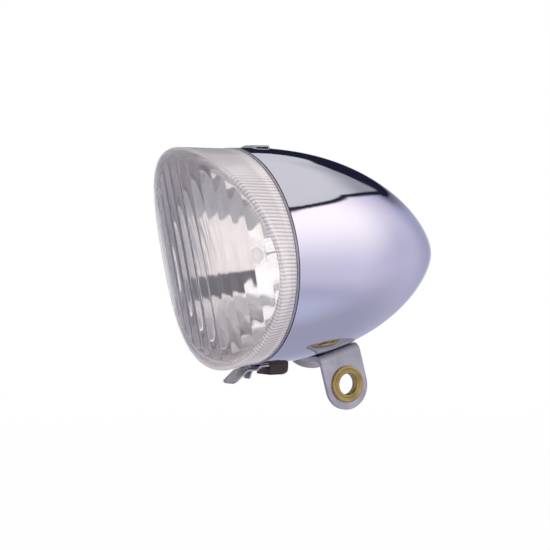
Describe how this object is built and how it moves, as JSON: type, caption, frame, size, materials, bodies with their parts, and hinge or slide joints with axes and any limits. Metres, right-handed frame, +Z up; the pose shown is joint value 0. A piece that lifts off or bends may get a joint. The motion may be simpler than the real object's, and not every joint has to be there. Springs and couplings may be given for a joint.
{
  "type": "bicycle_headlight",
  "caption": "Small bullet-shaped bicycle headlight: a chromed steel shell, a slanted clear lens with upright ribs and a finely ridged side wall, and a bracket with one leg under the shell.",
  "frame": {"origin": "centre of the bushing's bore in the bracket's leg", "axes": "Y along the lamp's axis with the lens towards -Y and the shell's tip towards +Y, +Z up, +X along the bushing's bore away from the lamp"},
  "size_m": [0.0711, 0.0986, 0.0859],
  "materials": {
    "chrome_shell": "mirror-bright chromed steel",
    "lens_clear": "clear moulding with upright ribs inside",
    "plated_steel": "dull zinc plate",
    "reflector_bright": "bright plated",
    "brass": "dull",
    "bronze_strip": "spring bronze",
    "bulb_glass": "clear",
    "filament_wire": "drawn wire",
    "black_glass": "glossy",
    "solder": "cast, slightly dull",
    "moulded_brown": "dark brown moulding",
    "fibre": "red-brown fibre board"
  },
  "bodies": {
    "shell_body": {"shell": "chrome_shell", "terminal_block": "moulded_brown", "terminal_sleeve": "brass", "terminal_rivet": "brass", "contact_insulator": "fibre", "contact_spring": "bronze_strip", "catch_foot": "plated_steel", "catch_rivet": "plated_steel", "bracket": "plated_steel", "bushing": "brass", "bracket_screw": "plated_steel", "bracket_washer": "plated_steel", "bracket_nut": "plated_steel", "earth_spring": "bronze_strip"},
    "lens_unit": {"lens": "lens_clear", "rim_ring": "plated_steel", "reflector": "reflector_bright", "bulb_holder": "brass", "holder_rivets": "brass", "bulb_glass": "bulb_glass", "bulb_stem": "bulb_glass", "bulb_filament": "filament_wire", "bulb_cap": "brass", "bulb_insulator": "black_glass", "bulb_contact": "solder"},
    "catch": {"catch_spring": "plated_steel"}
  },
  "joints": [
    {"name": "lens_hinge", "type": "hinge", "parent": "shell_body", "child": "lens_unit", "pos_m": [0, -0.02678, 0.07622], "axis": [-1, 0, 0], "range_deg": [0, 20], "deforming": ["catch_spring"]},
    {"name": "catch_flex", "type": "hinge", "parent": "shell_body", "child": "catch", "pos_m": [0, -0.03018, 0.00652], "axis": [1, 0, 0], "range_deg": [0, 12], "stiffness_Nm_per_rad": 0.2}
  ]
}
